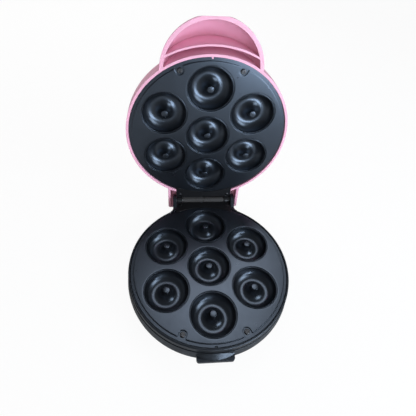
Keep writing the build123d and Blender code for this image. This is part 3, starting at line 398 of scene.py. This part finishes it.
def hinge_black():
    """Black hinge halves whose barrels, within 4.3 mm of the pin, are dull and dusty: grease and
    crumbs get rubbed into them every time the lid is lifted."""
    material, tree, shader, place = start_finish("hinge_black", IOR=1.5)
    from_pin = make_node(tree, "VectorMath", {0: place, 1: pin * MM}, operation="SUBTRACT").outputs[0]
    across = make_node(tree, "VectorMath", {0: from_pin, 1: (0, 1, 1)}, operation="MULTIPLY").outputs[0]
    radius = make_node(tree, "VectorMath", {0: across}, operation="LENGTH").outputs["Value"]
    along = make_node(tree, "SeparateXYZ", {0: place}).outputs["X"]
    along = make_node(tree, "Math", {0: along}, operation="ABSOLUTE").outputs[0]
    near = spread(tree, radius, 1.0, 0.0, 4.2 * MM, 4.4 * MM)  # the barrels' radius is 4 mm
    inner = spread(tree, along, 1.0, 0.0, 29.7 * MM, 29.9 * MM)  # they end 29.6 mm from the middle
    worn = make_node(tree, "Math", {0: near, 1: inner}, operation="MULTIPLY").outputs[0]
    speck = grain(tree, place, size_mm=1.1, detail=6.0, rough=0.7)
    dusty = two_tone(tree, speck, (0.012, 0.011, 0.011), (0.060, 0.056, 0.054))
    clean = two_tone(tree, speck, (0.005, 0.005, 0.006), (0.008, 0.008, 0.009))
    tone = make_node(tree, "Mix", {"Factor": worn}, data_type="RGBA")
    tree.links.new(clean, tone.inputs[6])
    tree.links.new(dusty, tone.inputs[7])
    tree.links.new(tone.outputs[2], shader.inputs["Base Color"])
    tree.links.new(spread(tree, worn, 0.34, 0.72, 0.0, 1.0), shader.inputs["Roughness"])
    soft_edge = make_node(tree, "Bevel", {"Radius": 0.4 * MM}, samples=6).outputs["Normal"]
    rough = relief(tree, speck, depth_mm=0.05, strength=0.5, under=soft_edge)
    tree.links.new(rough, shader.inputs["Normal"])
    return material


coat = nonstick_coat()
hinge_coat = hinge_black()
red_lens = pilot_colour("red_lens", (0.45, 0.02, 0.02), (0.62, 0.05, 0.04))
green_lens = pilot_colour("green_lens", (0.02, 0.28, 0.06), (0.05, 0.42, 0.10))

# %% [markdown]
# ## The cast plates
# The two baking plates are what the eye goes to first, and what makes a casting look cast is that
# it has no sharp corner anywhere: the rim of each cup, the step round it, the tip of the cone and
# the edge of the plate are all rounded by a few tenths of a millimetre, and each rounding draws a
# thin line of light. A bevel on the solid would clamp at its narrowest triangle. Here the section
# is drawn with sharp corners first and then sanded: the curve is walked at even steps, and every
# point moves to the weighted mean of its neighbours. Straight runs stay, corners become round.

# %% Helpers for the plates
CUP_RING, CUP_R, CUP_DEPTH = 60.0, 25.5, 12.5  # ring of six cups about the middle one, and their size
CONE_R = 3.8  # tip of the cone in each cup
STEP_R, STEP = 27.0, 0.6  # shallow step round each cup
GROOVE = 0.8  # depth of the line at the foot of the step
GROOVE_OUT, GROOVE_IN, GROOVE_END = 0.2, 0.9, 1.0  # its floor and its inner rim, in from the step
ROWS, COLUMNS = 64, 72  # points along and round each cup
LEDGE_R, PLATE_R = 91.5, 95.5  # edge of the raised face, and of the whole plate
LEDGE_DROP, PLATE_SIDE = 1.5, 3.7  # ledge and foot of the side below the raised face
SCREW_RING, SCREW_ANGLE = 87.6, 23.2  # the two screws, and their angle from the front
NOTCH_R, NOTCH_CORNER = 4.6, 1.2  # notch round each screw
KEY_HALF, KEY_IN = 1.1, 93.7  # slot of the locating key: half its width, and its inner end
LAND = 1.2  # strip of flat plate that belongs to each rounded edge
TIP_RISE = 0.3  # crown of each cone's tip, less than half of the gap between the plates
CUP_SOFT, EDGE_SOFT, SIDE_SOFT = 0.14, 0.16, 0.3  # width of the bell that sands each section
SAND_STEP = 0.02  # distance between the points that are sanded
TURN_WORTH = 3.0  # a radian of turn gets as many points as this length of straight line


def sanded(section, spread_mm, count):
    """Section points with rounded corners. The polyline is resampled at even steps, each point is
    replaced by the mean of its neighbours under a bell curve of width spread_mm, and count points
    are kept, spaced evenly in length plus TURN_WORTH for every radian that the curve turns. Past
    its two ends the polyline is carried straight on, so that they stay where they are."""
    section = np.asarray(section, float)
    run = np.concatenate([[0], np.cumsum(np.linalg.norm(np.diff(section, axis=0), axis=1))])
    even = np.arange(0, run[-1], SAND_STEP)
    fine = np.stack([np.interp(even, run, section[:, k]) for k in (0, 1)], axis=1)
    reach = int(4 * spread_mm / SAND_STEP)
    bell = np.exp(-0.5 * (np.arange(-reach, reach + 1) * SAND_STEP / spread_mm) ** 2)
    bell /= bell.sum()
    steps = np.arange(reach, 0, -1)[:, None]
    before = fine[0] - (fine[1] - fine[0]) * steps
    after = fine[-1] + (fine[-1] - fine[-2]) * steps[::-1]
    padded = np.concatenate([before, fine, after])
    soft = np.stack([np.convolve(padded[:, k], bell, "valid") for k in (0, 1)], axis=1)
    step = np.diff(soft, axis=0)
    turn = np.abs(np.diff(np.unwrap(np.arctan2(step[:, 1], step[:, 0]))))
    cost = np.linalg.norm(step, axis=1)
    cost[1:] += TURN_WORTH * turn
    worth = np.concatenate([[0], np.cumsum(cost)])
    keep = np.interp(np.linspace(0, worth[-1], count), worth, np.arange(len(worth)))
    return np.stack([np.interp(keep, np.arange(len(soft)), soft[:, k]) for k in (0, 1)], axis=1)


def cup_section():
    """Section of one cup as (radius, depth), from the flat plate inwards: a shallow step with a fine
    groove at its foot, a half ellipse radius = mid + half cos(a), depth = -CUP_DEPTH sin(a), and the
    slightly crowned tip of the cone, which ends in a single point."""
    half, mid = (CUP_R - CONE_R) / 2, (CUP_R + CONE_R) / 2
    start = np.arcsin(STEP / CUP_DEPTH)
    a = np.linspace(start, pi, 160)
    bowl = np.stack([mid + half * np.cos(a), -CUP_DEPTH * np.sin(a)], axis=1)
    foot = STEP + GROOVE
    rim = [
        (STEP_R + LAND, 0.0), (STEP_R, 0.0),
        (STEP_R - GROOVE_OUT, -foot), (STEP_R - GROOVE_IN, -foot), (STEP_R - GROOVE_END, -STEP),
    ]
    tip = [(CONE_R, 0.0), (0.7 * CONE_R, TIP_RISE / 2), (0.0, TIP_RISE)]
    section = sanded(np.concatenate([rim, bowl, tip]), CUP_SOFT, count=ROWS)
    section[-1] = tip[-1]
    return section


def turned(section, centre, columns):
    """Surface of revolution: point (i, j) is centre + radius_i (cos t_j, sin t_j) at depth_i."""
    t = np.linspace(0, 2 * pi, columns, endpoint=False)
    flat = np.asarray(centre) + section[:, 0, None, None] * np.stack([np.cos(t), np.sin(t)], axis=1)
    depth = np.broadcast_to(section[:, 1, None, None], (*flat.shape[:2], 1))
    return np.concatenate([flat, depth], axis=2).reshape(-1, 3)


def arc(centre, radius, start, stop, count):
    """Points of a circle about a centre, from one angle to another in degrees."""
    t = np.radians(np.linspace(start, stop, count))
    return np.asarray(centre) + radius * np.stack([np.cos(t), np.sin(t)], axis=1)


def raised_edge():
    """Closed outline of the raised face, anticlockwise: the ledge's circle, interrupted at each
    screw by a notch with straight sides, a half-round end and rounded corners."""
    lift = LEDGE_R - NOTCH_CORNER
    corner_v = NOTCH_R + NOTCH_CORNER
    corner_u = np.sqrt(lift**2 - corner_v**2)
    tilt = np.degrees(np.arctan2(corner_v, corner_u))
    notch = np.concatenate([
        arc((corner_u, -corner_v), NOTCH_CORNER, -tilt, 90, 12),
        arc((SCREW_RING, 0), NOTCH_R, 270, 90, 33),
        arc((corner_u, corner_v), NOTCH_CORNER, -90, tilt, 12),
    ])
    left, right = (radians(270 + side * SCREW_ANGLE) for side in (-1, 1))
    turn = [np.array([[cos(a), sin(a)], [-sin(a), cos(a)]]) for a in (left, right)]
    front = arc((0, 0), LEDGE_R, 270 - SCREW_ANGLE + tilt, 270 + SCREW_ANGLE - tilt, 48)[1:-1]
    rest = arc((0, 0), LEDGE_R, 270 + SCREW_ANGLE + tilt, 630 - SCREW_ANGLE - tilt, 280)[1:-1]
    return np.concatenate([notch @ turn[0], front, notch @ turn[1], rest])


def outer_edge():
    """Closed outline of the whole plate, anticlockwise: a circle with the slot of the locating key
    at the front."""
    swing = np.degrees(np.arcsin(KEY_HALF / PLATE_R))
    slot = np.array([(-KEY_HALF, -KEY_IN), (KEY_HALF, -KEY_IN)])
    return np.concatenate([slot, arc((0, 0), PLATE_R, 270 + swing, 630 - swing, 320)])


def outward(loop):
    """Mitred outward normals of a closed anticlockwise loop: (n1 + n2) / (1 + n1 . n2), where n1
    and n2 are the normals of the edges before and after each point."""
    edge = np.roll(loop, -1, axis=0) - loop
    after = np.stack([edge[:, 1], -edge[:, 0]], axis=1) / np.linalg.norm(edge, axis=1)[:, None]
    before = np.roll(after, 1, axis=0)
    return (before + after) / (1 + (before * after).sum(axis=1))[:, None]


def carried(section, loop):
    """A section carried round a closed loop: point (i, j) is loop_j + offset_i * normal_j."""
    flat = loop[None] + section[:, 0, None, None] * outward(loop)[None]
    depth = np.broadcast_to(section[:, 1, None, None], (*flat.shape[:2], 1))
    return np.concatenate([flat, depth], axis=2)


def within(points, loop):
    """True for points inside a closed loop, by counting how often a ray to the right crosses it."""
    a, b = loop[None], np.roll(loop, -1, axis=0)[None]
    x, y = points[:, :1], points[:, 1:]
    spans = (a[..., 1] > y) != (b[..., 1] > y)
    rise = np.where(b[..., 1] == a[..., 1], 1.0, b[..., 1] - a[..., 1])
    cross = a[..., 0] + (y - a[..., 1]) / rise * (b[..., 0] - a[..., 0])
    return (spans & (x < cross)).sum(axis=1) % 2 == 1


def flat_between(outer, holes, depth):
    """Triangles of a flat sheet inside one loop and outside others, at one depth."""
    loops = [outer, *holes]
    points = np.concatenate(loops)
    first = np.cumsum([0] + [len(loop) for loop in loops[:-1]])
    turns = [np.arange(len(loop)) for loop in loops]
    edges = [start + np.stack([n, (n + 1) % len(n)], axis=1) for start, n in zip(first, turns)]
    corners = [Vector(point) for point in points]
    result = geometry.delaunay_2d_cdt(corners, np.concatenate(edges).tolist(), [], 0, 1e-6)
    found = np.array([tuple(v) for v in result[0]])
    triangles = np.array([f for f in result[2] if len(f) == 3])
    centre = found[triangles].mean(axis=1)
    keep = within(centre, outer)
    for hole in holes:
        keep &= ~within(centre, hole)
    sheet = np.concatenate([found, np.full((len(found), 1), depth)], axis=1)
    return sheet, triangles[keep]


def cast_plate():
    """Upper skin of one plate, with its working face at height 0: seven turned cups, the flat web
    between them, the rounded edge down to the ledge, the ledge, and the plate's side."""
    angles = radians(90) + np.arange(6) * pi / 3
    ring = CUP_RING * np.stack([np.cos(angles), np.sin(angles)], axis=1)
    section = cup_section()
    cups = [turned(section, centre, COLUMNS) for centre in [(0.0, 0.0), *ring]]
    patches = [(cup, grid_faces(ROWS, COLUMNS)) for cup in cups]
    step = [(-LAND, 0), (0, 0), (0, -LEDGE_DROP), (LAND / 2, -LEDGE_DROP)]
    edge = carried(sanded(step, EDGE_SOFT, count=14), raised_edge())
    drop = [(-LAND, -LEDGE_DROP), (0, -LEDGE_DROP), (0, -PLATE_SIDE)]
    side = carried(sanded(drop, SIDE_SOFT, count=10), outer_edge())
    for strip in (edge, side):
        patches.append((strip.reshape(-1, 3), grid_faces(*strip.shape[:2])[:, ::-1]))
    patches.append(flat_between(edge[0, :, :2], [cup[:COLUMNS, :2] for cup in cups], 0.0))
    patches.append(flat_between(side[0, :, :2], [edge[-1, :, :2]], -LEDGE_DROP))
    first = np.cumsum([0] + [len(points) for points, _ in patches[:-1]])
    points = np.concatenate([points for points, _ in patches])
    faces = [face for start, (_, made) in zip(first, patches) for face in (made + start).tolist()]
    return points, faces


# %% [markdown]
# Both plates are the same casting. The base takes it as it is. The lid takes it turned over about
# the line from front to back, lifted by the gap between the plates, and swung open by 96 degrees
# about the pin, exactly as the solids were.

# %% Two plates
OPEN = radians(-96.0)  # swing from closed to the open rest
PLATES_APART = 1.0  # gap between the plates when the lid is down
SKIN = 1.5  # wall of each casting


def on_base(points):
    """Plate points to their place on the base."""
    return points + np.array(middle)


def on_lid(points):
    """Plate points turned over, (x, y, z) to (-x, y, gap - z), and swung open about the pin."""
    turned_over = points * (-1, 1, -1) + (0, -PIN_BEHIND, PLATES_APART - PIN_ABOVE)
    y = turned_over[:, 1] * cos(OPEN) - turned_over[:, 2] * sin(OPEN)
    z = turned_over[:, 1] * sin(OPEN) + turned_over[:, 2] * cos(OPEN)
    return np.stack([turned_over[:, 0], y, z], axis=1) + np.array(pin)


plate_points, plate_faces = cast_plate()
for half, put in (("base", on_base), ("lid", on_lid)):
    plate = make_piece(f"{half}_plate_casting", put(plate_points), plate_faces, smooth_angle=50.0)
    wall = plate.modifiers.new("wall", "SOLIDIFY")
    wall.thickness = SKIN * MM
    wall.offset = -1.0
    plate.modifiers.move(2, 1)  # the wall comes before the split, so that it has no open edge
    plate.data.materials.append(coat)
    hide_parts(f"{half}_plate")
    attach(plate, half)
print("each plate:", len(plate_points), "points,", len(plate_faces), "faces")

# %% [markdown]
# ## Dressing the solids
# A CAD node arrives as loose flat triangles. Smooth shading needs shared corners, so each one gets
# a weld and a split at its sharp edges, both as modifiers: its own points stay untouched.

# %% Give every solid its finish
finish_of = {
    "base_shell": black, "base_rim": black, "base_hinge_block": black, "lid_shell": pink,
    "rubber_feet": rubber, "cord_gland": rubber, "hinge_pin": zinc, "fuse_clip": zinc,
    "base_thermostat": ceramic, "thermal_fuse": ceramic,
    "terminal_block": ceramic, "terminal_block_screws": zinc,
    "power_lens": red_lens, "ready_lens": green_lens,
    "lamp_board": board_laminate(), "indicator_lamps": lamp_glass(),
}
for half in ("base", "lid"):
    finish_of |= {
        f"{half}_plate": coat, f"{half}_plate_screws": dark_steel, f"{half}_heating_element": heater_steel,
        f"{half}_heat_shield": pan_sheet, f"{half}_shield_screws": zinc, f"{half}_hinge_bracket": hinge_coat,
        f"{half}_hinge_screws": dark_steel,
    }
for name, node in nodes.items():
    node.data.materials.clear()
    node.data.materials.append(finish_of[name])
    soften(node, smooth_angle=32.0)
print("dressed", len(finish_of), "solids")
